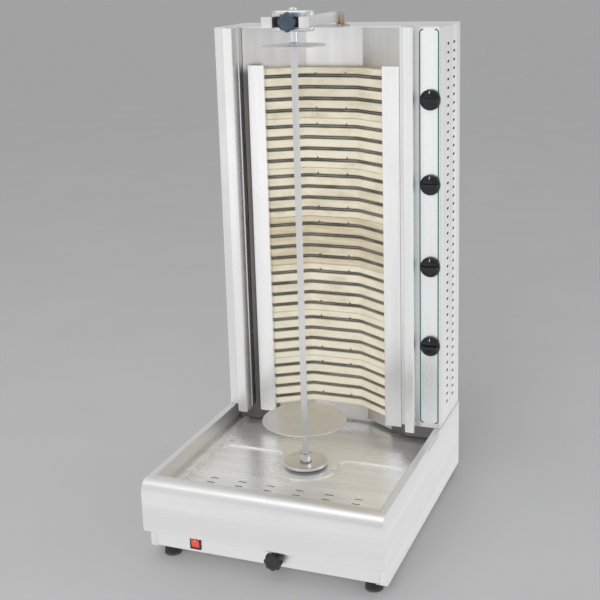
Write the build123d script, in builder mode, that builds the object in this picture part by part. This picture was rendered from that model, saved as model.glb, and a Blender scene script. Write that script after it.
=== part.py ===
"""Vertical rotisserie broiler: a drip-tray base, a heater column and a driven upright spit."""
import math
import os

from build123d import *

os.makedirs("parts", exist_ok=True)

# Driving dimensions in millimetres. The origin is on the floor under the middle of the base.
sheet = 1.2
base_half = 265
base_front = -300
base_back = 300
base_z = 25
plinth_top = 67.5
rim_z = 186
well_half = 249
ledge_z = 144.4
tray_z = 138
tray_front = -286
tray_back = 232
column_half = 263
column_front = 123
column_top = 1095
spit_y = -53
niche_x = -11
heater_y = 196
heater_half = 61
heater_turn = 32.2
brick_height = 115.3
brick_pitch = 115.8
brick_count = 7
brick_low = 190.2
groove_pitch = 26.3
groove_half = 4
cover_top = 1009
control_x = 241.5
knob_low = 385.6
knob_pitch = 185
fork_low = 1106.5
fork_high = 1128.5
carriage_travel = 35

turn_tan = math.tan(math.radians(heater_turn))
mitre_tan = math.tan(math.radians(heater_turn / 2))


def block(x0, x1, y0, y1, z0, z1, mode=Mode.ADD):
    """One box between the given limits."""
    with Locations(((x0 + x1) / 2, (y0 + y1) / 2, (z0 + z1) / 2)):
        Box(x1 - x0, y1 - y0, z1 - z0, mode=mode)


def bar_y(x, z, radius, y0, y1, mode=Mode.ADD):
    """A round bar or bore lying front to back."""
    with Locations(Location((x, (y0 + y1) / 2, z), (90, 0, 0))):
        Cylinder(radius, y1 - y0, mode=mode)


def bar_x(y, z, radius, x0, x1, mode=Mode.ADD):
    """A round bar or bore lying left to right."""
    with Locations(Location(((x0 + x1) / 2, y, z), (0, 90, 0))):
        Cylinder(radius, x1 - x0, mode=mode)


def bar_z(x, y, radius, z0, z1, mode=Mode.ADD):
    """An upright round bar or bore."""
    with Locations((x, y, (z0 + z1) / 2)):
        Cylinder(radius, z1 - z0, mode=mode)


def facet_points(depth, reach):
    """Corners of the three-sided heater plan, set back behind the brick face by depth."""
    half = heater_half + depth * mitre_tan
    wing = heater_y + depth - (reach - half) * turn_tan
    return [
        (niche_x - reach, wing),
        (niche_x - half, heater_y + depth),
        (niche_x + half, heater_y + depth),
        (niche_x + reach, wing),
    ]


def facet_band(depth, reach, thickness, low, height, mode=Mode.ADD, bend=26):
    """A band that follows the three-sided heater plan, of one thickness and height."""
    with BuildSketch(Plane.XY.offset(low)) as band:
        with BuildLine():
            path = FilletPolyline(*facet_points(depth, reach), radius=bend + depth)
            offset(path, amount=thickness, side=Side.LEFT)
        make_face()
    extrude(band.sketch, amount=height, mode=mode)


def star_head(x, z, y_front, y_back, radius):
    """A lobed hand knob facing the front, with a domed face."""
    depth = y_back - y_front
    with BuildSketch(Plane.XZ.offset(-y_back)) as lobes:
        with Locations((x, z)):
            Circle(radius * 0.86)
            with PolarLocations(radius * 0.80, 8):
                Circle(radius * 0.20)
            with PolarLocations(radius * 1.04, 8, start_angle=22.5):
                Circle(radius * 0.15, mode=Mode.SUBTRACT)
    extrude(lobes.sketch, amount=depth)


# ---------------------------------------------------------------- base
def base_side(hand):
    """Folded side panel: skin, rim, wall of the well, ledge for the tray and a foot flange."""
    with BuildPart() as panel:
        with BuildSketch(Plane.XZ.offset(-base_front)) as section:
            with Locations(((base_half - sheet / 2), (base_z + rim_z) / 2)):
                Rectangle(sheet, rim_z - base_z)
            with Locations(((base_half + well_half) / 2, rim_z - sheet / 2)):
                Rectangle(base_half - well_half, sheet)
            with Locations((well_half + sheet / 2, (rim_z + ledge_z - sheet) / 2)):
                Rectangle(sheet, rim_z - ledge_z + sheet)
            with Locations(((well_half + 230) / 2, ledge_z - sheet / 2)):
                Rectangle(well_half - 230, sheet)
            with Locations((base_half - 12, base_z + sheet / 2)):
                Rectangle(24, sheet)
            fillet(section.vertices().group_by(Axis.Y)[-1], radius=2)
        extrude(amount=base_front - base_back)
        block(well_half, base_half - sheet, base_front, base_front + sheet, base_z, rim_z - sheet)
        block(229, base_half - sheet, 298.5, 301, base_z + sheet + 0.1, rim_z - sheet, Mode.SUBTRACT)
        if hand > 0:
            block(base_half - 3, base_half + 1, 6, 104, rim_z - 7.5, rim_z - 5.5, Mode.SUBTRACT)
    if hand > 0:
        return panel.part
    return mirror(panel.part, about=Plane.YZ)


for hand, side in ((-1, "left"), (1, "right")):
    with BuildPart() as base_panel:
        add(base_side(hand))
    base_panel.part.label = "base_side_" + side
    export_step(base_panel.part, "parts/base_side_" + side + ".step")

with BuildPart() as base_bottom:
    block(-263.7, 263.7, -298.6, 298.6, base_z + sheet, base_z + 2 * sheet)
    with Locations((0, 180, base_z + 1.5 * sheet)):
        with GridLocations(0, 16, 1, 9):
            Box(140, 6, 4, mode=Mode.SUBTRACT)
base_bottom.part.label = "base_bottom"
export_step(base_bottom.part, "parts/base_bottom.step")

with BuildPart() as base_rear:
    block(-263.7, 263.7, 298.8, 300, base_z + 2.6, 184.6)
    bar_y(205, 70, 10.2, 296, 302, Mode.SUBTRACT)
    with Locations((-60, 299.4, 110)):
        with GridLocations(22, 1, 9, 1):
            Box(6, 6, 60, mode=Mode.SUBTRACT)
base_rear.part.label = "base_rear"
export_step(base_rear.part, "parts/base_rear.step")

rocker_x = -158
rocker_z = 47.5
rocker_pivot_y = -298.6
lock_x = 26
lock_z = 45
with BuildPart() as plinth:
    block(-248.8, 248.8, base_front, base_front + sheet, base_z + 2.6, plinth_top)
    block(-248.8, 248.8, base_front, base_front + 14, plinth_top - sheet, plinth_top)
    block(rocker_x - 11, rocker_x + 11, -304, -296, rocker_z - 12.5, rocker_z + 12.5, Mode.SUBTRACT)
    bar_y(lock_x, lock_z, 6.6, -304, -296, Mode.SUBTRACT)
plinth.part.label = "plinth"
export_step(plinth.part, "parts/plinth.step")


def apron_solid(inset):
    """The rolled apron as a solid, set in from its skin by inset on every side but the rear."""
    reach = base_half - inset
    with BuildPart() as solid:
        block(-reach, reach, -330 + inset, base_front, 68 + inset, rim_z - inset)
        nose = solid.edges().filter_by(Axis.X).group_by(Axis.Y)[0].sort_by(Axis.Z)
        fillet(nose[-1], radius=24 - inset)
        nose = solid.edges().filter_by(Axis.X).group_by(Axis.Y)[0].sort_by(Axis.Z)
        fillet(nose[0], radius=14 - inset)
    return solid.part


with BuildPart() as apron:
    add(apron_solid(0))
    add(apron_solid(1.5), mode=Mode.SUBTRACT)
    block(-well_half, well_half, base_front - 1, base_front + 9, rim_z - sheet, rim_z)
    block(-248.8, 248.8, base_front + 7.8, base_front + 9, ledge_z, rim_z)
    block(-229.6, 229.6, base_front + 7.8, tray_front - 0.3, ledge_z - sheet, ledge_z)
apron.part.label = "apron"
export_step(apron.part, "parts/apron.step")

with BuildPart() as well_rear:
    block(-248.8, 248.8, 240, 240 + sheet, ledge_z, 184.6)
    block(-229.6, 229.6, 240, 240 + sheet, 60, ledge_z)
    block(-229.6, 229.6, tray_back + 0.5, 240, ledge_z - sheet, ledge_z)
    block(-229.6, 229.6, 240, 252, 60, 60 + sheet)
well_rear.part.label = "well_rear"
export_step(well_rear.part, "parts/well_rear.step")

# ---------------------------------------------------------------- drip tray and grease pan
drop = 3


def sunk_area(inset):
    """The sunk front part of the tray floor, which runs round the raised drive seat."""
    with BuildSketch() as area:
        with Locations((0, (tray_front + 4) / 2)):
            Rectangle(2 * (222 - inset), -tray_front - 4 - 2 * inset)
        fillet(area.vertices(), radius=20 - inset)
        with Locations((0, spit_y)):
            Circle(72 + inset, mode=Mode.SUBTRACT)
        neck = area.vertices().filter_by(lambda v: abs(v.X) < 60 and v.Y > -inset - 1)
        fillet(neck, radius=22)
    return area.sketch


with BuildPart() as drip_tray:
    with BuildSketch(Plane.XY.offset(tray_z - sheet)) as bowl:
        with Locations((0, (tray_front + tray_back) / 2)):
            RectangleRounded(2 * 227.2, tray_back - tray_front - 1, 14)
    extrude(amount=ledge_z + sheet - tray_z + sheet)
    with BuildSketch(Plane.XY.offset(ledge_z + 0.05)) as lip:
        with Locations((0, (tray_front + tray_back) / 2)):
            RectangleRounded(2 * 240, tray_back - tray_front + 6, 18)
    extrude(amount=sheet)
    with BuildSketch(Plane.XY.offset(tray_z)) as hollow:
        with Locations((0, (tray_front + tray_back) / 2)):
            RectangleRounded(2 * 226, tray_back - tray_front - 3.4, 12.8)
    extrude(amount=20, mode=Mode.SUBTRACT)
    extrude(sunk_area(0).moved(Location((0, 0, tray_z - drop - sheet))), amount=drop + sheet)
    extrude(sunk_area(sheet).moved(Location((0, 0, tray_z - drop))), amount=drop + 1, mode=Mode.SUBTRACT)
    for row in (-169, -191):
        with Locations((-3.3, row, tray_z - drop)):
            with GridLocations(66.8, 1, 6, 1):
                Box(18, 4, 8, mode=Mode.SUBTRACT)
    with Locations((0, spit_y + 15, tray_z)):
        Box(24, carriage_travel + 5, 8, mode=Mode.SUBTRACT)
    for end in (spit_y - 5, spit_y + carriage_travel):
        bar_z(0, end, 12, tray_z - 4, tray_z + 4, Mode.SUBTRACT)
drip_tray.part.label = "drip_tray"
export_step(drip_tray.part, "parts/drip_tray.step")

with BuildPart() as grease_pan:
    block(-192, 192, -232, -160, 64, 122)
    block(-190.8, 190.8, -230.8, -161.2, 65.2, 123, Mode.SUBTRACT)
    for x in (-150, 138):
        block(x, x + 12, -228, -164, base_z + 2 * sheet, 64)
grease_pan.part.label = "grease_pan"
export_step(grease_pan.part, "parts/grease_pan.step")

# ---------------------------------------------------------------- feet
foot_spots = [(x, y) for x in (-228, 228) for y in (-272, 268)]
with BuildPart() as feet:
    with Locations(*[(x, y, 0) for x, y in foot_spots]):
        Cone(19, 16.5, 22, align=(Align.CENTER, Align.CENTER, Align.MIN))
        Cylinder(13, base_z + sheet, align=(Align.CENTER, Align.CENTER, Align.MIN))
feet.part.label = "feet"
export_step(feet.part, "parts/feet.step")

# ---------------------------------------------------------------- mains rocker switch
with BuildPart() as rocker_housing:
    block(rocker_x - 12.5, rocker_x + 12.5, -302.5, base_front, rocker_z - 14, rocker_z + 14)
    block(rocker_x - 10.8, rocker_x + 10.8, base_front - 0.5, -276, rocker_z - 12.3, rocker_z + 12.3)
    block(rocker_x - 9.5, rocker_x + 9.5, -304, -288, rocker_z - 11.6, rocker_z + 11.6, Mode.SUBTRACT)
    bar_x(rocker_pivot_y, rocker_z, 1.56, rocker_x - 12, rocker_x + 12, Mode.SUBTRACT)
    for z in (-6, 6):
        block(rocker_x - 3, rocker_x + 3, -276.1, -267, rocker_z + z - 0.4, rocker_z + z + 0.4)
rocker_housing.part.label = "rocker_housing"
export_step(rocker_housing.part, "parts/rocker_housing.step")

with BuildPart() as rocker_paddle:
    with BuildSketch(Plane.YZ.offset(rocker_x - 9)) as paddle:
        with BuildLine():
            Polyline(
                (-293, rocker_z - 9),
                (-301.8, rocker_z - 10.4),
                (-302.8, rocker_z),
                (-305.4, rocker_z + 9.8),
                (-293, rocker_z + 9),
                (-293, rocker_z - 9),
            )
        make_face()
    extrude(amount=18)
    fillet(rocker_paddle.edges().filter_by(Axis.X).group_by(Axis.Y)[0], radius=0.8)
    bar_x(rocker_pivot_y, rocker_z, 1.5, rocker_x - 10.6, rocker_x + 10.6)
rocker_paddle.part.label = "rocker_paddle"
export_step(rocker_paddle.part, "parts/rocker_paddle.step")

# ---------------------------------------------------------------- drive carriage under the tray
rail_top = 57.4
with BuildPart() as carriage_rails:
    for x in (-82, 70):
        block(x, x + 12, -150, 66, base_z + 2 * sheet, rail_top)
        block(x - 6, x + 18, -150, 66, base_z + 2 * sheet, base_z + 2 * sheet + 2)
carriage_rails.part.label = "carriage_rails"
export_step(carriage_rails.part, "parts/carriage_rails.step")

with BuildPart() as carriage_plate:
    block(-92, 92, -120, 14, rail_top + 0.3, rail_top + 4.3)
    block(-67, -63, -120, 14, rail_top - 12, rail_top + 0.3)
    block(lock_x - 12, lock_x + 12, -116, -98, 34, rail_top + 0.3)
    bar_y(lock_x, lock_z, 6.4, -118, -96, Mode.SUBTRACT)
carriage_plate.part.label = "carriage_plate"
export_step(carriage_plate.part, "parts/carriage_plate.step")

with BuildPart() as gearbox:
    block(-44, 44, spit_y - 40, spit_y + 40, rail_top + 4.3, 112)
    fillet(gearbox.edges().filter_by(Axis.Z), radius=8)
    fillet(gearbox.faces().sort_by(Axis.Z)[-1].edges(), radius=2)
    bar_z(0, spit_y, 20, 111, 116)
gearbox.part.label = "gearbox"
export_step(gearbox.part, "parts/gearbox.step")

with BuildPart() as drive_motor:
    bar_x(spit_y, 92, 29, 44, 118)
    chamfer(drive_motor.faces().sort_by(Axis.X)[-1].edges(), length=4)
    block(60, 100, spit_y - 20, spit_y + 20, rail_top + 4.3, 70)
drive_motor.part.label = "drive_motor"
export_step(drive_motor.part, "parts/drive_motor.step")

with BuildPart() as drive_shaft:
    bar_z(0, spit_y, 9, 116.4, 143)
drive_shaft.part.label = "drive_shaft"
export_step(drive_shaft.part, "parts/drive_shaft.step")

with BuildPart() as drive_disc:
    with BuildSketch(Plane.XZ) as disc_section:
        with BuildLine():
            Polyline((0, 143), (47.5, 143), (49, 144.5), (49, 149), (48, 150), (45.5, 150))
            Spline((45.5, 150), (42, 148.8), (34, 147.2), (14, 146.4))
            Polyline((14, 146.4), (0, 146.4), (0, 143))
        make_face()
    revolve(axis=Axis.Z)
    drive_disc.part = drive_disc.part.moved(Location((0, spit_y, 0)))
drive_disc.part.label = "drive_disc"
export_step(drive_disc.part, "parts/drive_disc.step")

with BuildPart() as drive_socket:
    with BuildSketch(Plane.XY.offset(146.4)) as socket_plan:
        with Locations((0, spit_y)):
            RegularPolygon(11.2, 8)
    extrude(amount=20)
    chamfer(drive_socket.faces().sort_by(Axis.Z)[-1].edges(), length=1.2)
    bar_z(0, spit_y, 6.2, 148, 170, Mode.SUBTRACT)
drive_socket.part.label = "drive_socket"
export_step(drive_socket.part, "parts/drive_socket.step")

with BuildPart() as socket_ring:
    with Locations((0, spit_y, 147.6)):
        Cylinder(13.4, 2.4)
        Cylinder(11.3, 2.4, mode=Mode.SUBTRACT)
    chamfer(socket_ring.faces().sort_by(Axis.Z)[-1].edges().sort_by(Edge.length)[-1], length=0.8)
socket_ring.part.label = "socket_ring"
export_step(socket_ring.part, "parts/socket_ring.step")

with BuildPart() as lower_star_knob:
    star_head(lock_x, lock_z, -324, -309, 20)
    fillet(lower_star_knob.faces().sort_by(Axis.Y)[0].edges(), radius=1.6)
    bar_y(lock_x, lock_z, 9, -309, -304)
lower_star_knob.part.label = "lower_star_knob"
export_step(lower_star_knob.part, "parts/lower_star_knob.step")

with BuildPart() as lock_rod:
    bar_y(lock_x, lock_z, 6, -304, -60)
lock_rod.part.label = "lock_rod"
export_step(lock_rod.part, "parts/lock_rod.step")

# ---------------------------------------------------------------- column shell
def column_side(hand):
    """Side panel of the column with two upright rows of short ventilation slots."""
    x0 = column_half - sheet
    with BuildPart() as panel:
        block(x0, column_half, column_front + sheet + 0.1, 298.7, rim_z + 0.2, column_top - sheet - 0.1)
        block(x0 - 12, x0, 297.5, 298.7, rim_z + 0.2, column_top - sheet - 0.1)
        for y, low, count in ((190, 229, 44), (243, 229, 44)):
            with BuildSketch(Plane.YZ.offset(x0 - 1)) as slots:
                with Locations((y, low + 19.2 * (count - 1) / 2)):
                    with GridLocations(1, 19.2, 1, count):
                        SlotOverall(16, 5.4)
            extrude(amount=4, mode=Mode.SUBTRACT)
    if hand > 0:
        return panel.part
    return mirror(panel.part, about=Plane.YZ)


for hand, side in ((-1, "left"), (1, "right")):
    with BuildPart() as column_panel:
        add(column_side(hand))
    column_panel.part.label = "column_side_" + side
    export_step(column_panel.part, "parts/column_side_" + side + ".step")


def post(outer, inner):
    """Front post: a face between the outer and the inner edge, with a return into the niche."""
    low = rim_z + 0.3
    high = column_top - sheet - 0.1
    with BuildPart() as folded:
        block(min(outer, inner), max(outer, inner), column_front, column_front + sheet, low, high)
        block(inner, inner + sheet, column_front, 158, low, high)
        fillet(folded.edges().filter_by(Axis.Z).group_by(Axis.Y)[0], radius=1)
    return folded.part


for side, outer, inner in (("left", -column_half, -206.2), ("right", column_half, 172)):
    with BuildPart() as post_part:
        add(post(outer, inner))
        if outer > 0:
            for index in range(4):
                bar_y(control_x, knob_low + knob_pitch * index, 5, 120, 126, Mode.SUBTRACT)
    post_part.part.label = "post_" + side
    export_step(post_part.part, "parts/post_" + side + ".step")

plate_low = 196
plate_high = 1091
with BuildPart() as control_plate:
    with BuildSketch(Plane.XZ.offset(-column_front)):
        with Locations((238, (plate_low + plate_high) / 2)):
            RectangleRounded(48, plate_high - plate_low, 3)
    extrude(amount=sheet)
    for index in range(4):
        bar_y(control_x, knob_low + knob_pitch * index, 5, 120, 126, Mode.SUBTRACT)
control_plate.part.label = "control_plate"
export_step(control_plate.part, "parts/control_plate.step")

with BuildPart() as regulators:
    for index in range(4):
        z = knob_low + knob_pitch * index
        block(control_x - 22, control_x + 19, column_front + sheet, 158, z - 21, z + 21)
        for x in (-12, 12):
            block(control_x + x - 3, control_x + x + 3, 157.9, 167, z - 0.5, z + 0.5)
regulators.part.label = "regulators"
export_step(regulators.part, "parts/regulators.step")

for index in range(4):
    z = knob_low + knob_pitch * index
    plate_face = column_front - sheet
    with BuildPart() as regulator_knob:
        with BuildSketch(Plane.XZ.offset(-(plate_face - 0.5))):
            with Locations((control_x, z)):
                Circle(22.6)
        extrude(amount=11, taper=3)
        fillet(regulator_knob.faces().sort_by(Axis.Y)[0].edges(), radius=1.2)
        block(control_x - 20.4, control_x + 20.4, plate_face - 24.5, plate_face - 11, z - 4.2, z + 4.2)
        tip = regulator_knob.faces().sort_by(Axis.Y)[0]
        fillet(tip.edges(), radius=1.4)
        bar_y(control_x, z, 3, plate_face - 1, column_front + sheet - 0.4)
    regulator_knob.part.label = "regulator_knob_" + str(index + 1)
    export_step(regulator_knob.part, "parts/regulator_knob_" + str(index + 1) + ".step")


def guard(x0, x1):
    """Channel that stands in front of a post and shields it from the heat."""
    front = column_front - 30
    with BuildPart() as channel:
        block(x0, x1, front, column_front, 181, column_top)
        block(x0 + 1.5, x1 - 1.5, front + 1.5, column_front + 1, 180, column_top + 1, Mode.SUBTRACT)
        fillet(channel.edges().filter_by(Axis.Z).group_by(Axis.Y)[0], radius=2)
    return channel.part


for side, x0, x1 in (("left", -230, -206.5), ("right", 188, 210.5)):
    with BuildPart() as guard_part:
        add(guard(x0, x1))
    guard_part.part.label = "guard_" + side
    export_step(guard_part.part, "parts/guard_" + side + ".step")

with BuildPart() as column_cap:
    block(-column_half, column_half, column_front, 300, column_top - sheet, column_top)
    block(-205, 172, column_front - 1, column_front + 15, column_top - 3, column_top + 1, Mode.SUBTRACT)
    block(-205, 172, column_front + 15, column_front + 15 + sheet, column_top - 3, column_top)
column_cap.part.label = "column_cap"
export_step(column_cap.part, "parts/column_cap.step")

with BuildPart() as column_back:
    block(-column_half, column_half, 298.8, 300, rim_z + 0.2, column_top - sheet - 0.1)
    for z in [800 + 14 * index for index in range(12)] + [270 + 14 * index for index in range(8)]:
        block(-130, 130, 297, 302, z, z + 5, Mode.SUBTRACT)
column_back.part.label = "column_back"
export_step(column_back.part, "parts/column_back.step")

# ---------------------------------------------------------------- niche and heater
liner_low = 146.2
liner_high = column_top - 3.4
flange_y = 145
with BuildPart() as niche_liner:
    facet_band(25.5, 193, sheet, liner_low, liner_high - liner_low, bend=-20)
    block(171.8, 200, 100, 200, liner_low - 1, liner_high + 1, Mode.SUBTRACT)
    block(-248.4, -200, flange_y, flange_y + sheet, liner_low, rim_z - 0.2)
    block(166, 248.4, flange_y + 6.5, flange_y + 6.5 + sheet, liner_low, rim_z - 0.2)
niche_liner.part.label = "niche_liner"
export_step(niche_liner.part, "parts/niche_liner.step")

with BuildPart() as brick:
    facet_band(0, 142, 24, 0, brick_height)
    fillet(brick.edges().filter_by(GeomType.LINE).filter_by(Axis.Z), radius=1)
    for row in range(4):
        low = (brick_height - 3 * groove_pitch) / 2 + row * groove_pitch - groove_half
        facet_band(-0.01, 142.5, 9, low, 2 * groove_half, Mode.SUBTRACT)
    for row in (0, 3):
        z = (brick_height - 3 * groove_pitch) / 2 + row * groove_pitch + groove_half + 1.6
        for x in (-36, 36):
            bar_y(niche_x + x, z, 2.3, heater_y - 1, heater_y + 6, Mode.SUBTRACT)

with BuildPart() as heater_bricks:
    with Locations(*[(0, 0, brick_low + brick_pitch * index) for index in range(brick_count)]):
        add(brick.part)
heater_bricks.part.label = "heater_bricks"
export_step(heater_bricks.part, "parts/heater_bricks.step")

element_depth = 5.2
with BuildPart() as element:
    with BuildLine() as element_path:
        FilletPolyline(*facet_points(element_depth, 149), radius=26 + element_depth)
    path_wire = element_path.wires()[0]
    with BuildSketch(Plane(origin=path_wire @ 0, z_dir=path_wire % 0)):
        Circle(3.3)
    sweep(path=path_wire)

element_levels = []
for index in range(brick_count):
    for row in range(4):
        step = (brick_height - 3 * groove_pitch) / 2 + row * groove_pitch
        element_levels.append(brick_low + brick_pitch * index + step)
with BuildPart() as heating_elements:
    with Locations(*[(0, 0, z) for z in element_levels]):
        add(element.part)
heating_elements.part.label = "heating_elements"
export_step(heating_elements.part, "parts/heating_elements.step")

for hand, side in ((-1, "left"), (1, "right")):
    near = niche_x + hand * 139
    far = niche_x + hand * 179
    x0 = min(near, far)
    x1 = max(near, far)
    with BuildPart() as heater_cover:
        block(x0, x1, 136, flange_y - 0.1, 173, cover_top)
        block(x0 + sheet, x1 - sheet, 136 + sheet, flange_y + 1, 170, cover_top - sheet, Mode.SUBTRACT)
        fillet(heater_cover.edges().filter_by(Axis.Z).group_by(Axis.Y)[0], radius=1.1)
        leg = far - hand * sheet / 2
        block(leg - sheet / 2, leg + sheet / 2, 140, 151.4, 173, cover_top)
    heater_cover.part.label = "heater_cover_" + side
    export_step(heater_cover.part, "parts/heater_cover_" + side + ".step")

with BuildPart() as insulation:
    facet_band(28, 140, 22, brick_low, brick_pitch * brick_count, bend=-20)
insulation.part.label = "insulation"
export_step(insulation.part, "parts/insulation.step")

with BuildPart() as terminal_block:
    block(190, 240, 210, 238, 196, 236)
    with Locations((215, 209, 216)):
        with GridLocations(10, 1, 4, 1):
            Box(7, 4, 30)
terminal_block.part.label = "terminal_block"
export_step(terminal_block.part, "parts/terminal_block.step")

with BuildPart() as cable_gland:
    bar_y(205, 70, 9.8, 292, 300.2)
    with BuildSketch(Plane.XZ.offset(-300)):
        with Locations((205, 70)):
            RegularPolygon(15, 6)
    extrude(amount=-7)
    bar_y(205, 70, 11.5, 307, 330)
    fillet(cable_gland.faces().sort_by(Axis.Y)[-1].edges(), radius=4)
    bar_y(205, 70, 5.5, 280, 334, Mode.SUBTRACT)
cable_gland.part.label = "cable_gland"
export_step(cable_gland.part, "parts/cable_gland.step")

with BuildPart() as panel_screws:
    for x in (-252, 252):
        for z in (200, 420, 640, 860, 1076, 170, 40):
            bar_y(x, z, 3.6, 300, 302)
            bar_y(x, z, 1.8, 297, 300)
panel_screws.part.label = "panel_screws"
export_step(panel_screws.part, "parts/panel_screws.step")

# ---------------------------------------------------------------- top fork, its bracket and clamp
fork_out = 32
fork_thick = 4
fork_front = -98
fork_back = 142
fork_tip = 20.5
with BuildPart() as arm_bracket:
    block(-46, 46, 112, 170, column_top, column_top + 3)
    for hand in (-1, 1):
        block(hand * 36 - 7, hand * 36 + 7, fork_back, fork_back + 3, column_top + 2.9, fork_high + 1)
        block(hand * 30 - 2, hand * 30 + 2, fork_back - 14, fork_back, column_top + 2.9, fork_low - 0.1)
arm_bracket.part.label = "arm_bracket"
export_step(arm_bracket.part, "parts/arm_bracket.step")

for hand, side in ((-1, "left"), (1, "right")):
    inner = hand * (fork_out - fork_thick)
    outer = hand * fork_out
    tip = hand * (fork_out + fork_tip)
    with BuildPart() as fork_bar:
        block(min(inner, outer), max(inner, outer), fork_front, fork_back, fork_low, fork_high)
        block(min(inner, tip), max(inner, tip), fork_front, fork_front + fork_thick, fork_low, fork_high)
        front_corner = fork_bar.edges().filter_by(Axis.Z).group_by(Axis.Y)[0]
        fillet(front_corner.sort_by(Axis.X)[0 if hand > 0 else -1], radius=3)
    fork_bar.part.label = "fork_bar_" + side
    export_step(fork_bar.part, "parts/fork_bar_" + side + ".step")

with BuildPart() as bracket_bolts:
    for x in (-37.6, 37.6):
        for z in (1104, 1113):
            with BuildSketch(Plane.XZ.offset(-fork_back)):
                with Locations((x, z)):
                    RegularPolygon(3.6, 6)
            extrude(amount=3.4)
    with Locations(*[(x, y, column_top + 3) for x in (-38, 38) for y in (121, 160)]):
        Cylinder(4.2, 3, align=(Align.CENTER, Align.CENTER, Align.MIN))
bracket_bolts.part.label = "bracket_bolts"
export_step(bracket_bolts.part, "parts/bracket_bolts.step")

clamp_front = -72
clamp_back = -34
clamp_z = 1117.5
pin_radius = 8.4
with BuildPart() as top_carriage:
    block(-27.6, 27.6, clamp_front, clamp_back, fork_low - 0.3, fork_high + 0.3)
    for low, high in ((fork_high + 0.3, fork_high + 10.8), (fork_low - 8.8, fork_low - 0.3)):
        with BuildPart() as cheek:
            with BuildSketch(Plane.XY.offset(low)):
                with Locations((0, spit_y)):
                    SlotOverall(90, clamp_back - clamp_front - 4)
            extrude(amount=high - low)
            fillet(cheek.faces().sort_by(Axis.Z)[0 if high < clamp_z else -1].edges(), radius=4)
        add(cheek.part)
    bar_z(0, spit_y, pin_radius + 0.4, fork_low - 12, fork_high + 14, Mode.SUBTRACT)
    bar_y(0, clamp_z, 5.4, clamp_front - 3, spit_y - 5, Mode.SUBTRACT)
top_carriage.part.label = "top_carriage"
export_step(top_carriage.part, "parts/top_carriage.step")

with BuildPart() as clamp_pad:
    block(-27.4, 27.4, clamp_front - 5, clamp_front, fork_low, fork_high)
    bar_y(0, clamp_z, 5.4, clamp_front - 8, clamp_front + 2, Mode.SUBTRACT)
clamp_pad.part.label = "clamp_pad"
export_step(clamp_pad.part, "parts/clamp_pad.step")

with BuildPart() as top_star_knob:
    star_head(0, clamp_z, -94, -80, 20.5)
    fillet(top_star_knob.faces().sort_by(Axis.Y)[0].edges(), radius=1.6)
    bar_y(0, clamp_z, 5, -81, spit_y - pin_radius - 0.4)
top_star_knob.part.label = "top_star_knob"
export_step(top_star_knob.part, "parts/top_star_knob.step")

pin_low = 1076
with BuildPart() as top_pin:
    bar_z(0, spit_y, pin_radius, pin_low, 1145)
    chamfer(top_pin.faces().sort_by(Axis.Z)[-1].edges(), length=1.5)
    bar_z(0, spit_y, 5.3, pin_low - 1, 1108, Mode.SUBTRACT)
top_pin.part.label = "top_pin"
export_step(top_pin.part, "parts/top_pin.step")

# ---------------------------------------------------------------- spit and its plates
spit_turn = 22
with BuildPart() as spit:
    with BuildSketch(Plane.XY.offset(167)):
        with Locations(Location((0, spit_y, 0), (0, 0, spit_turn))):
            RectangleRounded(14, 14, 1.5)
    extrude(amount=1074.5 - 167)
    bar_z(0, spit_y, 6.15, 148, 167.1)
    bar_z(0, spit_y, 5, 1074.4, 1100)
    chamfer(spit.faces().sort_by(Axis.Z)[-1].edges(), length=2)
    for z in (172, 203):
        with Locations(Location((0, spit_y, z), (0, 90, spit_turn + 90))):
            Cylinder(2.2, 22)
spit.part.label = "spit"
export_step(spit.part, "parts/spit.step")


def plate(radius, low, thickness, hole):
    """Round meat plate with a square hole for the spit and a softened rim."""
    with BuildPart() as disc:
        bar_z(0, spit_y, radius, low, low + thickness)
        fillet(disc.edges().filter_by(GeomType.CIRCLE), radius=thickness * 0.4)
        with Locations(Location((0, spit_y, low), (0, 0, spit_turn))):
            Box(hole, hole, 12, mode=Mode.SUBTRACT)
    return disc.part


with BuildPart() as lower_plate:
    add(plate(94, 246, 3, 14))
lower_plate.part.label = "lower_plate"
export_step(lower_plate.part, "parts/lower_plate.step")

with BuildPart() as plate_collar:
    bar_z(0, spit_y, 15, 232, 246)
    with Locations(Location((0, spit_y, 240), (0, 0, spit_turn))):
        Box(14, 14, 30, mode=Mode.SUBTRACT)
    bar_x(spit_y, 239, 3, 12, 30)
    bar_x(spit_y, 239, 7, 24, 31)
plate_collar.part.label = "plate_collar"
export_step(plate_collar.part, "parts/plate_collar.step")

with BuildPart() as upper_plate:
    bar_z(0, spit_y, 65, 1067.5, 1070)
    fillet(upper_plate.edges().filter_by(GeomType.CIRCLE), radius=0.9)
    bar_z(0, spit_y, 11.4, 1061, 1074)
    with Locations(Location((0, spit_y, 1072), (0, 0, spit_turn))):
        Box(14.8, 14.8, 40, mode=Mode.SUBTRACT)
upper_plate.part.label = "upper_plate"
export_step(upper_plate.part, "parts/upper_plate.step")
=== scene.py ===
import math

import bmesh
import bpy
import numpy as np
from mathutils import Matrix, Vector


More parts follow.
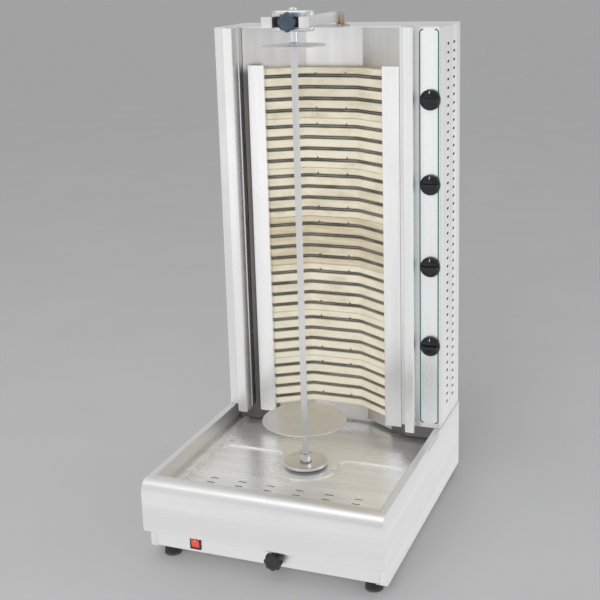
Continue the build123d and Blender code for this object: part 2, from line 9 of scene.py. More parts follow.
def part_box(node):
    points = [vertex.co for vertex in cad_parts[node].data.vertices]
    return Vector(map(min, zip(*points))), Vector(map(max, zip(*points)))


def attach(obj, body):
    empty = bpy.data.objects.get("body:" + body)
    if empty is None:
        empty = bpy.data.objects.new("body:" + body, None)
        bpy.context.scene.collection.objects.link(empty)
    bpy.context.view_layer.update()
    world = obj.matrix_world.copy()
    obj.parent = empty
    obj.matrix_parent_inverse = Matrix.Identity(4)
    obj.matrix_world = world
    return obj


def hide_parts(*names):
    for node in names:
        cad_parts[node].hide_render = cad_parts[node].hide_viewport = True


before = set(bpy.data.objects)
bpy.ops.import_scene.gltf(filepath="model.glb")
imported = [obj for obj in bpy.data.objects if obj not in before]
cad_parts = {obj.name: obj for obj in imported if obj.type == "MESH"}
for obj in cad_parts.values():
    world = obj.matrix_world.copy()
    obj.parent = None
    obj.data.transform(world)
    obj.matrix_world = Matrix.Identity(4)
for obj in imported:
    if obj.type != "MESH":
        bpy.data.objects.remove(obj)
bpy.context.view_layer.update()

# ------------------------------------------------------------------ outer skin of base and column
# The skin is folded from satin-brushed stainless sheet about a millimetre thick. Panels are folded
# with small bend radii, spot welded behind, and screwed at the rear. Grain runs along each panel.


class Paint:
    """One socket of a material's node tree. Sums written on it add their Math nodes."""

    def __init__(self, tree, socket=None):
        self.tree = tree
        self.socket = socket

    def add(self, kind, settings=(), values=(), out=0):
        """Any node: its settings are set first, then each named input gets a value or a link."""
        node = self.tree.nodes.new(kind)
        for name, value in dict(settings).items():
            if name == "stops":
                ramp = node.color_ramp
                while len(ramp.elements) < len(value):
                    ramp.elements.new(1.0)
                for stop, (position, colour) in zip(ramp.elements, value):
                    stop.position = position
                    stop.color = colour
            else:
                setattr(node, name, value)
        for name, value in dict(values).items():
            if isinstance(value, Paint):
                self.tree.links.new(value.socket, node.inputs[name])
            else:
                node.inputs[name].default_value = value
        return Paint(self.tree, node.outputs[out])

    def math(self, operation, *terms):
        return self.add("ShaderNodeMath", {"operation": operation}, enumerate(terms))

    def __add__(self, other):
        return self.math("ADD", self, other)

    def __sub__(self, other):
        return self.math("SUBTRACT", self, other)

    def __rsub__(self, other):
        return self.math("SUBTRACT", other, self)

    def __mul__(self, other):
        return self.math("MULTIPLY", self, other)

    def __truediv__(self, other):
        return self.math("DIVIDE", self, other)

    def __abs__(self):
        return self.math("ABSOLUTE", self)

    __radd__ = __add__
    __rmul__ = __mul__


def place(paint):
    """Object coordinates of the piece, which are metres in the frame of the whole oven."""
    return paint.add("ShaderNodeTexCoord", out="Object")


def axes(paint, spot):
    """The x, y and z of a point, one Paint each."""
    return [paint.add("ShaderNodeSeparateXYZ", {}, {"Vector": spot}, out=axis) for axis in "XYZ"]


def noise(paint, scale, detail=4.0, rough=0.55):
    """Noise between 0 and 1, stretched by a scale for each of the three axes."""
    spot = paint.add("ShaderNodeMapping", {}, {"Vector": place(paint), "Scale": scale})
    settings = {"noise_dimensions": "3D"}
    values = {"Vector": spot, "Scale": 1.0, "Detail": detail, "Roughness": rough}
    return paint.add("ShaderNodeTexNoise", settings, values, out="Fac")


def mix(paint, share, first, second):
    """Colour that goes from first to second as share goes from 0 to 1."""
    values = {0: share, 6: first, 7: second}
    return paint.add("ShaderNodeMix", {"data_type": "RGBA"}, values, out=2)


def band(paint, value, low, high):
    """Smooth rise from 0 at low to 1 at high."""
    values = {"Value": value, "From Min": low, "From Max": high}
    return paint.add("ShaderNodeMapRange", {"interpolation_type": "SMOOTHSTEP"}, values)


def bump(paint, height, distance, edge=0.0):
    """Normal from a height in 0..1 over a distance in metres, with corners rounded by edge."""
    values = {"Height": height, "Strength": 1.0, "Distance": distance}
    if edge:
        values["Normal"] = paint.add("ShaderNodeBevel", {"samples": 4}, {"Radius": edge})
    return paint.add("ShaderNodeBump", {}, values)


def make_material(name, recipe):
    """A material from a recipe, which takes an empty Paint and returns the shader's sockets."""
    made = bpy.data.materials.new(name)
    made.use_nodes = True
    shader = made.node_tree.nodes["Principled BSDF"]
    for socket, value in recipe(Paint(made.node_tree)).items():
        if isinstance(value, Paint):
            made.node_tree.links.new(value.socket, shader.inputs[socket])
        else:
            shader.inputs[socket].default_value = value
    return made


def dress(made, *names):
    """Gives a material to CAD pieces."""
    for name in names:
        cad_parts[name].material_slots[0].material = made


def shade(grey, warm=0.0):
    """A grey with a little warmth in it, as a colour."""
    return (grey * (1 + warm), grey, grey * (1 - warm), 1.0)


def brushed(grey, rough, grain, streak=0.10, smudge=0.08, edge=0.0012, metal=1.0):
    """Recipe for brushed steel: fine grain and wide soft streaks along one axis, and smudges.

    A metal share below 1 adds the dull scatter of a finely blasted or worn sheet.
    """
    fine = [520.0, 520.0, 520.0]
    wide = [26.0, 26.0, 26.0]
    fine[grain] = 5.0
    wide[grain] = 0.9

    def recipe(paint):
        lines = noise(paint, fine, 3.0, 0.65)
        streaks = noise(paint, wide, 3.0, 0.5)
        marks = noise(paint, (9.0, 9.0, 9.0), 5.0, 0.6)
        tone = (lines - 0.5) * 0.5 + (streaks - 0.5) * 1.2 + 0.5
        dark = shade(grey * (1 - streak))
        light = shade(min(grey * (1 + streak), 1.0))
        return {
            "Base Color": mix(paint, band(paint, tone, 0.2, 0.8), dark, light),
            "Metallic": metal,
            "Roughness": rough + (lines - 0.5) * 0.14 + band(paint, marks, 0.45, 0.75) * smudge,
            "Normal": bump(paint, lines, 0.00004, edge),
        }

    return recipe


ALONG_X = 0
ALONG_Y = 1
ALONG_Z = 2
dress(
    make_material("skin_grain_across", brushed(0.86, 0.37, ALONG_X, streak=0.05)),
    "apron", "plinth", "column_cap",
)
dress(
    make_material("skin_grain_deep", brushed(0.85, 0.37, ALONG_Y, streak=0.05)),
    "base_side_left", "base_side_right",
)
dress(
    make_material("skin_grain_up", brushed(0.86, 0.31, ALONG_Z, streak=0.10)),
    "column_side_left", "column_side_right", "post_left", "post_right",
)

# ------------------------------------------------------------------ guards, covers and niche liner
# Channels in front of the posts, covers over the brick ends and the liner behind the bricks are of
# bright-rolled sheet with soft upright streaks. Heat tans the liner, and painted shade darkens its edges by
# the covers.
dress(
    make_material("bright_sheet", brushed(0.90, 0.25, ALONG_Z, streak=0.08, smudge=0.05, metal=0.84)),
    "guard_left", "guard_right", "heater_cover_left", "heater_cover_right",
)


LINER_X = -0.011
COVER_EDGE = 0.140
COVER_SHADE_TOP = 1.012


def liner_recipe(paint):
    """Bright sheet that warms towards the bricks' height and has painted shade in the slits by the cover
    strips.
    """
    base = brushed(0.84, 0.30, ALONG_Z, streak=0.08)(paint)
    parts = axes(paint, place(paint))
    heat = band(paint, parts[2], 1.06, 1.0) * noise(paint, (14.0, 14.0, 5.0))
    base["Base Color"] = mix(paint, heat * 0.35, base["Base Color"], (0.62, 0.52, 0.38, 1.0))
    # Painted shade: past the cover edges and below the covers' top, the liner's wings are darkened nearly to
    # black, where shade falls in the slits beside the covers.
    out = band(paint, abs(parts[0] - LINER_X), COVER_EDGE, COVER_EDGE + 0.006)
    painted_cover_shade = out * band(paint, parts[2], COVER_SHADE_TOP, COVER_SHADE_TOP - 0.027)
    base["Base Color"] = mix(paint, painted_cover_shade * 0.85, base["Base Color"], (0.10, 0.095, 0.09, 1.0))
    return base


dress(make_material("liner_sheet", liner_recipe), "niche_liner")

# ------------------------------------------------------------------ inner panels and drive frame
# Bottom, rear panels, rails and brackets are of plain mill-finish sheet. It's duller than the skin,
# with rolling marks along its length and a slight mottle from handling.
dress(
    make_material("mill_sheet", brushed(0.60, 0.42, ALONG_X, streak=0.10, smudge=0.14)),
    "base_bottom", "base_rear", "well_rear", "carriage_plate", "arm_bracket", "column_back",
)
dress(make_material("mill_sheet_deep", brushed(0.58, 0.44, ALONG_Y)), "carriage_rails")

# ------------------------------------------------------------------ drip tray and grease pan
# The tray is one deep-drawn stainless pan with a sunk front and two rows of drain slots. Its floor
# is polished by scrapers, so it carries crossing wipe marks and faint blotchy stains.


def tray_recipe(paint):
    """Satin sheet with long wipe marks one way, short scratches the other, and blotchy stains."""
    base = brushed(0.90, 0.28, ALONG_X, streak=0.08, smudge=0.07, metal=0.70)(paint)
    wipes = noise(paint, (5.0, 14.0, 5.0), 2.0, 0.4)
    scratches = band(paint, noise(paint, (30.0, 900.0, 30.0), 2.0, 0.7), 0.62, 0.72)
    stains = band(paint, noise(paint, (9.0, 9.0, 9.0), 4.0, 0.5), 0.5, 0.8)
    base["Base Color"] = mix(paint, stains * 0.10, base["Base Color"], (0.52, 0.51, 0.49, 1.0))
    base["Roughness"] = base["Roughness"] + (wipes - 0.5) * 0.10 + scratches * 0.05
    return base


dress(make_material("tray_sheet", tray_recipe), "drip_tray", "grease_pan")

# ------------------------------------------------------------------ spit and meat plates
# The spit is a square stainless bar with turned ends. The plates are spun discs that carry fine
# turning rings round the spit, and the drive disc has a bright turned rim.
SPIT_Y = -0.053


def ring_noise(paint, rings, turns):
    """Noise that is fine across the radius from the spit's line and long round it."""
    ends = {0: place(paint), 1: (0.0, SPIT_Y, 0.0)}
    parts = axes(paint, paint.add("ShaderNodeVectorMath", {"operation": "SUBTRACT"}, ends))
    radius = paint.math("SQRT", parts[0] * parts[0] + parts[1] * parts[1])
    angle = paint.math("SINE", paint.math("ARCTAN2", parts[1], parts[0]) * 0.5)
    spot = {"X": radius * rings, "Y": angle * turns, "Z": parts[2] * 40}
    spot = paint.add("ShaderNodeCombineXYZ", {}, spot)
    values = {"Vector": spot, "Scale": 1.0, "Detail": 3.0, "Roughness": 0.6}
    return paint.add("ShaderNodeTexNoise", {"noise_dimensions": "3D"}, values, out="Fac")


def spun(grey, rough, ring_depth=0.00003):
    """Recipe for spun steel: rings round the spit's line shade its colour, gloss and normal."""

    def recipe(paint):
        rings = ring_noise(paint, 1400.0, 1.5)
        wide = ring_noise(paint, 90.0, 2.5)
        marks = noise(paint, (22.0, 22.0, 22.0), 5.0, 0.6)
        tone = (rings - 0.5) * 0.6 + (wide - 0.5) * 0.8 + 0.5
        return {
            "Base Color": mix(
                paint, band(paint, tone, 0.2, 0.8), shade(grey * 0.92), shade(grey * 1.06),
            ),
            "Metallic": 1.0,
            "Roughness": rough + (rings - 0.5) * 0.12 + band(paint, marks, 0.5, 0.75) * 0.08,
            "Normal": bump(paint, rings, ring_depth, 0.0008),
        }

    return recipe


dress(make_material("spun_plate", spun(0.76, 0.36)), "lower_plate", "upper_plate", "plate_collar")
dress(make_material("turned_disc", spun(0.84, 0.31)), "drive_disc")
dress(make_material("drawn_bar", brushed(0.80, 0.40, ALONG_Z, streak=0.06)), "spit", "drive_shaft")
dress(make_material("drawn_rod", brushed(0.66, 0.36, ALONG_Y)), "lock_rod")

# ------------------------------------------------------------------ socket, its ring and the top pin
# The socket and the lifting pin are machined and chromed. A thin copper ring seats the socket on
# the disc. The chrome has faint polishing marks and a few dull spots.


def chrome_recipe(paint):
    """Bright chrome: very low roughness, a little more where polishing left a haze."""
    haze = noise(paint, (60.0, 60.0, 20.0), 4.0, 0.6)
    lines = noise(paint, (700.0, 700.0, 40.0), 2.0, 0.5)
    return {
        "Base Color": mix(paint, haze, (0.74, 0.75, 0.77, 1.0), (0.86, 0.87, 0.88, 1.0)),
        "Metallic": 1.0,
        "Roughness": 0.07 + band(paint, haze, 0.45, 0.8) * 0.12,
        "Normal": bump(paint, lines, 0.00001, 0.0006),
    }


def copper_recipe(paint):
    """Copper dulled by heat: brown mottle over orange metal."""
    mottle = noise(paint, (240.0, 240.0, 240.0), 5.0, 0.6)
    return {
        "Base Color": mix(paint, mottle, (0.38, 0.26, 0.19, 1.0), (0.62, 0.47, 0.38, 1.0)),
        "Metallic": 1.0,
        "Roughness": 0.22 + mottle * 0.25,
        "Normal": bump(paint, mottle, 0.00003, 0.0004),
    }


dress(make_material("bright_chrome", chrome_recipe), "top_pin", "drive_socket")
dress(make_material("heat_dulled_copper", copper_recipe), "socket_ring")

# ------------------------------------------------------------------ top fork, clamp and bolts
# Two flat steel bars reach forward from a bracket on the cap. A cast aluminium clamp slides between
# them, ground on its cheeks, with a black pad at its front. Brass-coated bolts hold the bracket.


def cast_recipe(paint):
    """Cast aluminium: fine pebbled skin with bright ground patches."""
    pebble = noise(paint, (900.0, 900.0, 900.0), 4.0, 0.7)
    patches = noise(paint, (45.0, 45.0, 45.0), 4.0, 0.6)
    return {
        "Base Color": mix(paint, patches, (0.66, 0.67, 0.69, 1.0), (0.86, 0.87, 0.89, 1.0)),
        "Metallic": 1.0,
        "Roughness": 0.26 + pebble * 0.14 + band(paint, patches, 0.55, 0.3) * 0.12,
        "Normal": bump(paint, pebble, 0.00006, 0.0015),
    }


def brass_recipe(paint):
    """Yellow zinc and brass plate with dull edges."""
    mottle = noise(paint, (300.0, 300.0, 300.0), 4.0, 0.6)
    return {
        "Base Color": mix(paint, mottle, (0.60, 0.40, 0.14, 1.0), (0.86, 0.66, 0.32, 1.0)),
        "Metallic": 1.0,
        "Roughness": 0.24 + mottle * 0.2,
        "Normal": bump(paint, mottle, 0.00003, 0.0005),
    }


dress(make_material("cast_metal", cast_recipe), "top_carriage", "gearbox", "drive_motor")
dress(make_material("fork_bar_steel", brushed(0.82, 0.32, ALONG_Y)), "fork_bar_left", "fork_bar_right")
dress(make_material("brass_plate", brass_recipe), "bracket_bolts")
dress(make_material("screw_steel_dull", brushed(0.55, 0.36, ALONG_X)), "panel_screws")

# ------------------------------------------------------------------ heater bricks
# Each brick is pressed from unglazed refractory clay, cream with pale and tan patches. Four grooves
# hold the tubes, and their lips are browned by the heat. Bricks differ a little in tone.
BRICK_LOW = 0.1902
BRICK_PITCH = 0.1158
GROOVE_PITCH = 0.0263
BRICK_FACE_Y = 0.196


def brick_recipe(paint):
    """Cream clay: tone per brick, layered streaks along the grooves, pores, and scorched lips."""
    parts = axes(paint, place(paint))
    course = paint.math("FLOOR", (parts[2] - BRICK_LOW) / BRICK_PITCH)
    settings = {"noise_dimensions": "1D"}
    tone = paint.add("ShaderNodeTexWhiteNoise", settings, {"W": course + 0.5}, out="Value")
    streaks = noise(paint, (9.0, 9.0, 150.0), 5.0, 0.6)
    patches = noise(paint, (18.0, 18.0, 34.0), 4.0, 0.6)
    grit = noise(paint, (520.0, 520.0, 520.0), 4.0, 0.7)
    pores = band(paint, noise(paint, (260.0, 260.0, 260.0), 3.0, 0.6), 0.66, 0.74)
    in_course = (parts[2] - BRICK_LOW) - course * BRICK_PITCH
    first_groove = (BRICK_PITCH - 3 * GROOVE_PITCH) / 2
    in_groove = paint.math("WRAP", in_course - first_groove, GROOVE_PITCH / 2, -GROOVE_PITCH / 2)
    lip = band(paint, abs(in_groove), 0.0066, 0.0038)
    joint = band(paint, abs(in_course - BRICK_PITCH / 2), 0.0555, 0.0577)
    patches = band(paint, patches + (tone - 0.5) * 0.5, 0.25, 0.8)
    clay = mix(paint, patches, (0.66, 0.57, 0.39, 1.0), (0.90, 0.84, 0.67, 1.0))
    clay = mix(paint, band(paint, streaks, 0.4, 0.75) * 0.55, clay, (0.90, 0.86, 0.73, 1.0))
    scorched = mix(paint, lip * (0.25 + streaks * 0.45), clay, (0.34, 0.27, 0.18, 1.0))
    scorched = mix(paint, joint * 0.3, scorched, (0.42, 0.36, 0.26, 1.0))
    return {
        "Base Color": mix(paint, pores * 0.5, scorched, (0.36, 0.29, 0.20, 1.0)),
        "Roughness": 0.82 + (grit - 0.5) * 0.2,
        "Normal": bump(paint, grit * 0.6 + streaks * 0.6 - pores * 0.8, 0.0005, 0.0012),
    }


dress(make_material("refractory_clay", brick_recipe), "heater_bricks")

# ------------------------------------------------------------------ heating tubes and hidden parts
# The tubes are sheathed in heat-resisting steel, oxidised to a grey green with darker bands. Wool,
# terminal block and regulator bodies sit behind the skin.


def sheath_recipe(paint):
    """Oxidised sheath: grey green scale with darker and bluish bands along the tube."""
    scale = noise(paint, (14.0, 14.0, 60.0), 5.0, 0.65)
    grit = noise(paint, (700.0, 700.0, 700.0), 3.0, 0.6)
    tone = mix(paint, band(paint, scale, 0.3, 0.7), (0.13, 0.14, 0.13, 1.0), (0.36, 0.38, 0.34, 1.0))
    return {
        "Base Color": mix(paint, band(paint, grit, 0.6, 0.8) * 0.4, tone, (0.46, 0.44, 0.36, 1.0)),
        "Metallic": 0.75,
        "Roughness": 0.42 + scale * 0.2,
        "Normal": bump(paint, grit, 0.00006),
    }


def wool_recipe(paint):
    """Mineral wool: crossed long fibres in straw and grey."""
    fibres = noise(paint, (60.0, 700.0, 300.0), 5.0, 0.7)
    clumps = noise(paint, (30.0, 30.0, 30.0), 4.0, 0.6)
    depth = fibres * 0.5 + clumps * 0.5
    return {
        "Base Color": mix(paint, depth, (0.45, 0.40, 0.28, 1.0), (0.82, 0.78, 0.66, 1.0)),
        "Roughness": 0.95,
        "Normal": bump(paint, fibres, 0.002),
    }


def porcelain_recipe(paint):
    """Terminal porcelain: off-white glaze, thin on the edges, with fine specks."""
    specks = noise(paint, (400.0, 400.0, 400.0), 4.0, 0.6)
    spots = band(paint, specks, 0.6, 0.8)
    return {
        "Base Color": mix(paint, spots, (0.80, 0.79, 0.74, 1.0), (0.55, 0.50, 0.42, 1.0)),
        "Roughness": 0.22 + specks * 0.2,
        "Normal": bump(paint, specks, 0.00008, 0.0006),
    }


dress(make_material("oxidised_sheath", sheath_recipe), "heating_elements")
dress(make_material("mineral_wool", wool_recipe), "insulation")
dress(make_material("terminal_porcelain", porcelain_recipe), "terminal_block")

# ------------------------------------------------------------------ black mouldings and rubber feet
# Bezel, gland, regulator bodies and the clamp's pad are moulded in matt black plastic with a fine
# spark-eroded texture. The feet are dull rubber with a bloom of dust near the floor.


def moulding(grey, rough, pebble_size=650.0, blue=0.0):
    """Recipe for moulded plastic: fine pebbled texture, faint dust and lighter edges."""

    def recipe(paint):
        pebble = noise(paint, (pebble_size,) * 3, 3.0, 0.6)
        dust = band(paint, noise(paint, (40.0, 40.0, 40.0), 5.0, 0.6), 0.5, 0.8)
        film = dust * 0.35 + pebble * 0.2
        return {
            "Base Color": mix(paint, film, shade(grey, -blue), shade(grey * 2.6, -blue)),
            "Roughness": rough + (pebble - 0.5) * 0.16 + dust * 0.1,
            "Specular IOR Level": 0.45,
            "Normal": bump(paint, pebble, 0.00008, 0.0006),
        }

    return recipe


def rubber_recipe(paint):
    """Rubber: dull black, with a pale dust bloom that fades upwards from the floor."""
    height = paint.add("ShaderNodeSeparateXYZ", {}, {"Vector": place(paint)}, out="Z")
    grit = noise(paint, (500.0, 500.0, 500.0), 4.0, 0.7)
    bloom = band(paint, height, 0.008, 0.0) * grit
    return {
        "Base Color": mix(paint, bloom, (0.020, 0.020, 0.022, 1.0), (0.16, 0.15, 0.14, 1.0)),
        "Roughness": 0.72 + (grit - 0.5) * 0.2,
        "Normal": bump(paint, grit, 0.0002, 0.0010),
    }


dress(
    make_material("matt_black_moulding", moulding(0.022, 0.48)),
    "clamp_pad", "rocker_housing", "cable_gland", "regulators",
)
dress(make_material("foot_rubber_black", rubber_recipe), "feet")

# ------------------------------------------------------------------ mains rocker
# The rocker is moulded in translucent red and glows a little from the lamp behind it. A small pale
# dot marks its on end.
ROCKER_X = -0.158
ROCKER_Z = 0.0475


def rocker_recipe(paint):
    """Glossy red, deeper towards its ends, with a pale dot near the top."""
    parts = axes(paint, place(paint))
    across = parts[0] - ROCKER_X
    up = parts[2] - (ROCKER_Z + 0.0062)
    off = paint.math("SQRT", across * across + up * up)
    dot = band(paint, off, 0.0016, 0.0011)
    depth = noise(paint, (160.0, 160.0, 160.0), 3.0, 0.5)
    red = mix(paint, depth, (0.60, 0.030, 0.010, 1.0), (0.86, 0.085, 0.030, 1.0))
    ends = band(paint, abs(parts[2] - ROCKER_Z), 0.006, 0.0105)
    red = mix(paint, ends * 0.45, red, (0.36, 0.012, 0.006, 1.0))
    return {
        "Base Color": mix(paint, dot, red, (0.92, 0.80, 0.74, 1.0)),
        "Roughness": 0.14 + depth * 0.12,
        "Coat Weight": 0.4,
        "Emission Color": mix(paint, dot, red, (0.9, 0.6, 0.5, 1.0)),
        "Emission Strength": 0.22,
        "Normal": bump(paint, depth, 0.00006, 0.0007),
    }


dress(make_material("rocker_red_gloss", rocker_recipe), "rocker_paddle")

# ------------------------------------------------------------------ control strip
# A satin aluminium strip is stuck on the right post and printed with one green line that follows
# its edge, open in the middle of its top and bottom. The four regulator spindles pass through it.
strip_low, strip_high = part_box("control_plate")
LINE_INSET = 0.0034
LINE_WIDTH = 0.0028
LINE_ROUND = 0.006
LINE_GAP = 0.0125


def strip_recipe(paint):
    """Pale satin strip. The line is the zero band of the distance to a rounded rectangle."""
    parts = axes(paint, place(paint))
    middle_x = (strip_low.x + strip_high.x) / 2
    middle_z = (strip_low.z + strip_high.z) / 2
    half_x = (strip_high.x - strip_low.x) / 2 - LINE_INSET
    half_z = (strip_high.z - strip_low.z) / 2 - LINE_INSET * 0.8
    across = abs(parts[0] - middle_x)
    past_x = across - (half_x - LINE_ROUND)
    past_z = abs(parts[2] - middle_z) - (half_z - LINE_ROUND)
    out_x = paint.math("MAXIMUM", past_x, 0.0)
    out_z = paint.math("MAXIMUM", past_z, 0.0)
    inside = paint.math("MINIMUM", paint.math("MAXIMUM", past_x, past_z), 0.0)
    distance = paint.math("SQRT", out_x * out_x + out_z * out_z) + inside - LINE_ROUND
    line = band(paint, abs(distance), LINE_WIDTH * 0.62, LINE_WIDTH * 0.42)
    open_ends = band(paint, across, LINE_GAP - 0.0004, LINE_GAP + 0.0004)
    sides = band(paint, past_z, 0.002, 0.0)
    line = line * paint.math("MAXIMUM", open_ends, sides)
    lines = noise(paint, (420.0, 420.0, 5.0), 3.0, 0.6)
    soft = noise(paint, (30.0, 30.0, 1.4), 2.0, 0.5)
    satin = band(paint, lines * 0.4 + soft * 0.6, 0.3, 0.7)
    face = mix(paint, satin, (0.80, 0.82, 0.83, 1.0), (0.93, 0.94, 0.95, 1.0))
    return {
        "Base Color": mix(paint, line, face, (0.003, 0.150, 0.092, 1.0)),
        "Metallic": (1.0 - line) * 0.72,
        "Roughness": 0.26 + (lines - 0.5) * 0.1 + line * 0.1,
        "Normal": bump(paint, lines * 0.3 + line, 0.00006, 0.0008),
    }


dress(make_material("printed_strip", strip_recipe), "control_plate")

# ------------------------------------------------------------------ regulator knobs
# Four turned knobs are moulded in glossy black phenolic: a fluted skirt, a domed face and one
# straight grip across it. A short pale line is filled into the face above the grip.
knob_boxes = [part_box("regulator_knob_" + str(number)) for number in (1, 2, 3, 4)]
KNOB_X = (knob_boxes[0][0].x + knob_boxes[0][1].x) / 2
KNOB_Z = [(low.z + high.z) / 2 for low, high in knob_boxes]
KNOB_RADIUS = (knob_boxes[0][1].x - knob_boxes[0][0].x) / 2
KNOB_TIP = knob_boxes[0][0].y
KNOB_BACK = strip_low.y - 0.0005
SPINDLE_END = knob_boxes[0][1].y
SPINDLE_RADIUS = 0.003
GRIP_ROOT = 0.0078
KNOB_FACE_DEPTH = 0.0090
FLUTES = 40


def ring_mesh(name, grid, body, made, slot, *nodes):
    """A closed skin from rings of points. The first and last ring shrink to a point each."""
    rows, columns = grid.shape[:2]
    index = np.arange(rows * columns).reshape(rows, columns)
    lower = index[:-1]
    upper = index[1:]
    quads = np.stack([lower, np.roll(lower, -1, 1), np.roll(upper, -1, 1), upper], -1)
    mesh = bpy.data.meshes.new(name)
    mesh.from_pydata(grid.reshape(-1, 3).tolist(), [], quads.reshape(-1, 4).tolist())
    work = bmesh.new()
    work.from_mesh(mesh)
    bmesh.ops.remove_doubles(work, verts=work.verts, dist=1e-6)
    bmesh.ops.recalc_face_normals(work, faces=work.faces)
    work.to_mesh(mesh)
    work.free()
    mesh.shade_smooth()
    mesh.materials.append(made)
    piece = bpy.data.objects.new(name, mesh)
    bpy.context.collection.objects.link(piece)
    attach(piece, body)
    if nodes:
        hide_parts(*nodes)
    return piece


def knob_recipe(paint):
    """Glossy black with a blue cast, fine swirl, and a pale filled line above the grip."""
    parts = axes(paint, place(paint))
    pitch = KNOB_Z[1] - KNOB_Z[0]
    up = paint.math("WRAP", parts[2] - KNOB_Z[0], pitch / 2, -pitch / 2)
    face = KNOB_BACK - KNOB_FACE_DEPTH
    line = band(paint, abs(parts[0] - KNOB_X), 0.0009, 0.0006)
    line = line * band(paint, up, 0.0140, 0.0146) * band(paint, up, 0.0196, 0.0190)
    line = line * band(paint, parts[1], face, face - 0.0004)
    swirl = noise(paint, (90.0, 90.0, 90.0), 4.0, 0.6)
    wear = band(paint, noise(paint, (420.0, 420.0, 420.0), 3.0, 0.6), 0.6, 0.8)
    black = mix(paint, swirl * 0.6 + wear * 0.3, (0.003, 0.004, 0.006, 1.0), (0.012, 0.017, 0.025, 1.0))
    return {
        "Base Color": mix(paint, line, black, (0.80, 0.80, 0.78, 1.0)),
        "Roughness": 0.13 + swirl * 0.08 + wear * 0.06,
        "Specular IOR Level": 0.42,
        "Normal": bump(paint, swirl, 0.00010),
    }


def knob_skirt(x, z):
    """Turned body: a profile carried round the spindle, with flutes cut by a cosine of the angle."""
    spindle = SPINDLE_RADIUS / KNOB_RADIUS
    end = (KNOB_BACK - SPINDLE_END) * 1000
    radius = [0.0, spindle, spindle, 0.6, 0.96, 1, 1, 1, 1, 0.985, 0.95, 0.90, 0.83, 0.72, 0.55, 0.3, 0.0]
    radius = np.array(radius)
    depth = [end, end, 0, 0, 0, 0.4, 1.2, 3.5, 6.6, 8.0, 8.9, 9.6, 10.2, 10.9, 11.6, 12.2, 12.4]
    depth = np.array(depth)
    cut = np.array([0, 0, 0, 0, 0, 0, 0.3, 1, 1, 0.8, 0.4, 0.1, 0, 0, 0, 0, 0])
    angle = np.linspace(0, 2 * np.pi, FLUTES * 5, endpoint=False)
    wave = 1 - 0.016 * cut[:, None] * (0.5 + 0.5 * np.cos(FLUTES * angle))
    reach = KNOB_RADIUS * radius[:, None] * wave
    back = KNOB_BACK - depth[:, None] / 1000 + 0 * angle
    return np.stack([x + reach * np.cos(angle), back, z + reach * np.sin(angle)], -1)


def knob_grip(x, z):
    """Straight grip: a squarish ring carried across the face, drawn in at both ends."""
    along = np.linspace(-1, 1, 41)
    angle = np.linspace(0, 2 * np.pi, 40, endpoint=False)
    swell = (1 - np.abs(along) ** 10) ** 0.5
    waist = 0.0036 + 0.0012 * along ** 2
    side = np.sign(np.cos(angle)) * np.abs(np.cos(angle)) ** 0.55
    rise = np.sign(np.sin(angle)) * np.abs(np.sin(angle)) ** 0.7
    reach = 0.91 * KNOB_RADIUS * along[:, None] + 0 * angle
    wide = (waist * swell)[:, None] * side
    root = KNOB_BACK - GRIP_ROOT
    middle = (KNOB_TIP + root) / 2
    deep = ((root - KNOB_TIP) / 2 * (1 - 0.22 * along ** 4) * swell)[:, None] * rise
    shift = 0.0008 * (along ** 4)[:, None]
    return np.stack([x + reach, middle - deep + shift, z + wide], -1)


knob_black = make_material("phenolic_black", knob_recipe)
for number, knob_z in enumerate(KNOB_Z, 1):
    ring_mesh(
        "knob_skirt_" + str(number), knob_skirt(KNOB_X, knob_z), "regulator_" + str(number),
        knob_black, "knob_black", "regulator_knob_" + str(number),
    )
    ring_mesh(
        "knob_grip_" + str(number), knob_grip(KNOB_X, knob_z), "regulator_" + str(number),
        knob_black, "knob_black",
    )

# ------------------------------------------------------------------ star knobs
# Two eight-lobed hand knobs are moulded round a steel bush: one locks the drive under the apron,
# the other locks the clamp at the top. Each has a domed face with a shallow cap in its centre.


def star_knob(box, deep, stem):
    """Lobed head: a profile carried round the axis, its radius waved by eight lobes near the rim."""
    low, high = box
    x = (low.x + high.x) / 2
    z = (low.z + high.z) / 2
    radius = (high.x - low.x) / 2
    front = low.y
    back = front + deep
    stem_end = high.y
    share = np.array([0.0, 0.20, 0.34, 0.37, 0.40, 0.60, 0.78, 0.90, 0.96, 0.99, 1.0, 1.0, 0.985, 0.95, 0.80])
    depth = np.array([0.03, 0.03, 0.05, 0.10, 0.02, 0.0, 0.04, 0.11, 0.20, 0.32, 0.50, 0.75, 0.88, 0.97, 1.0])
    lobe = np.clip((share - 0.38) / 0.55, 0, 1) ** 1.5
    angle = np.linspace(0, 2 * np.pi, 192, endpoint=False)
    wave = 1 - 0.13 * lobe[:, None] * (0.5 - 0.5 * np.cos(8 * angle)) ** 1.3
    reach = radius * share[:, None] * wave
    back_y = front + deep * depth[:, None] + 0 * angle
    stem_reach = np.array([stem * 1.15, stem, stem, 0.0])[:, None] + 0 * angle
    stem_y = np.array([back, back + 0.0008, stem_end, stem_end])[:, None] + 0 * angle
    reach = np.concatenate([reach, stem_reach])
    back_y = np.concatenate([back_y, stem_y])
    return np.stack([x + reach * np.cos(angle), back_y, z + reach * np.sin(angle)], -1)


knob_dull = make_material("star_knob_moulding", moulding(0.020, 0.34, 900.0))
knob_blue = make_material("star_knob_blue_grey", moulding(0.060, 0.26, 900.0, 0.35))
ring_mesh(
    "lock_star_head", star_knob(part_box("lower_star_knob"), 0.015, 0.009),
    "carriage_lock", knob_dull, "star_knob_black", "lower_star_knob",
)
ring_mesh(
    "clamp_star_head", star_knob(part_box("top_star_knob"), 0.014, 0.005),
    "top_lock", knob_blue, "star_knob_black", "top_star_knob",
)

# ------------------------------------------------------------------ floor, light and camera
# A plain light floor in a pale surround. A weak key stands front left, a fill at the right and a
# box overhead. Steel mirrors the surround in place of the floor, and doesn't mirror the face box.


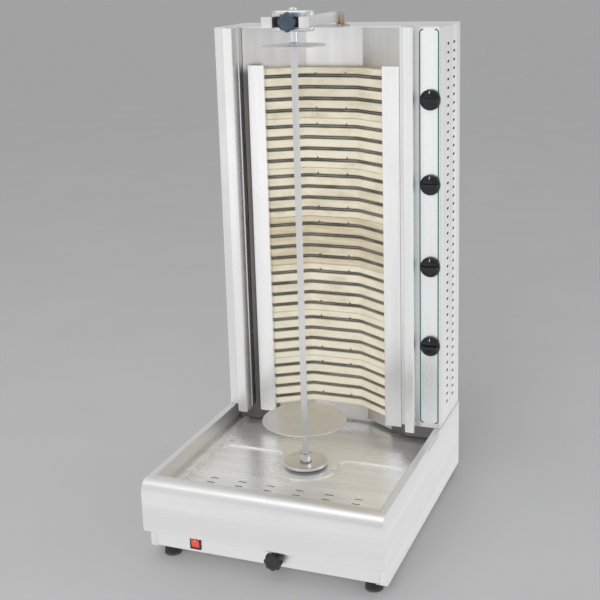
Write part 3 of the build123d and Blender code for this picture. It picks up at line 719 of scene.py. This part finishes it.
def floor_recipe(paint):
    """Pale matt studio floor with a hardly visible mottle."""
    mottle = noise(paint, (3.0, 3.0, 3.0), 4.0, 0.5)
    return {
        "Base Color": mix(paint, mottle, (0.46, 0.46, 0.465, 1.0), (0.51, 0.51, 0.515, 1.0)),
        "Roughness": 0.7 + mottle * 0.1,
    }


floor_mesh = bpy.data.meshes.new("studio_floor")
floor_half = 60.0
corners = [(x * floor_half, y * floor_half, 0) for x, y in ((-1, -1), (1, -1), (1, 1), (-1, 1))]
floor_mesh.from_pydata(corners, [], [(0, 1, 2, 3)])
floor_mesh.materials.append(make_material("studio_floor_paint", floor_recipe))
floor = bpy.data.objects.new("studio_floor", floor_mesh)
bpy.context.collection.objects.link(floor)
floor.visible_glossy = False

world = bpy.data.worlds.new("studio_surround")
bpy.context.scene.world = world
world.use_nodes = True
sky = Paint(world.node_tree)
upward = axes(sky, sky.add("ShaderNodeTexCoord", out="Generated"))[2]
greys = [(0.0, 0.88), (0.43, 0.84), (0.55, 0.50), (0.75, 0.62), (1.0, 0.80)]
stops = [(height, shade(grey)) for height, grey in greys]
glow = sky.add("ShaderNodeValToRGB", {"stops": stops}, {"Fac": upward * 0.5 + 0.5})
surround = world.node_tree.nodes["Background"]
world.node_tree.links.new(glow.socket, surround.inputs["Color"])
surround.inputs["Strength"].default_value = 1.0


def soft_light(name, spot, aim, wide, tall, watts, mirrored=True):
    """A rectangular soft box at spot that faces aim. Steel shows its mirror image if mirrored."""
    lamp = bpy.data.lights.new(name, "AREA")
    lamp.shape = "RECTANGLE"
    lamp.size = wide
    lamp.size_y = tall
    lamp.energy = watts
    made = bpy.data.objects.new(name, lamp)
    made.location = spot
    made.visible_glossy = mirrored
    made.rotation_euler = (Vector(aim) - Vector(spot)).to_track_quat("-Z", "Y").to_euler()
    bpy.context.collection.objects.link(made)


soft_light("key_box", (-1.35, -3.1, 1.15), (0, 0, 0.62), 1.9, 2.6, 3.6)
soft_light("face_box", (0.2, -4.3, 2.5), (0, 0, 0.62), 2.6, 2.2, 96, mirrored=False)
soft_light("fill_box", (2.9, 1.0, 1.7), (0, 0, 0.6), 1.6, 2.2, 8)
soft_light("top_box", (-0.6, -1.2, 3.4), (0, 0, 0.4), 2.2, 2.2, 12)

camera_data = bpy.data.cameras.new("studio_camera")
camera_data.lens = 67.6
camera_data.sensor_width = 36.0
camera_data.shift_y = -0.10
camera = bpy.data.objects.new("studio_camera", camera_data)
turn, rise, roll = math.radians(21.60), math.radians(13.95), math.radians(-1.65)
backward = Vector((math.sin(turn) * math.cos(rise), -math.cos(turn) * math.cos(rise), math.sin(rise)))
level = Vector((math.cos(turn), math.sin(turn), 0.0))
upright = backward.cross(level)
right = level * math.cos(roll) + upright * math.sin(roll)
above = upright * math.cos(roll) - level * math.sin(roll)
facing = Matrix((right, above, backward)).transposed().to_4x4()
camera.matrix_world = Matrix.Translation((0.860, -2.222, 1.238)) @ facing
bpy.context.collection.objects.link(camera)
bpy.context.scene.camera = camera
bpy.context.scene.view_settings.view_transform = "Standard"
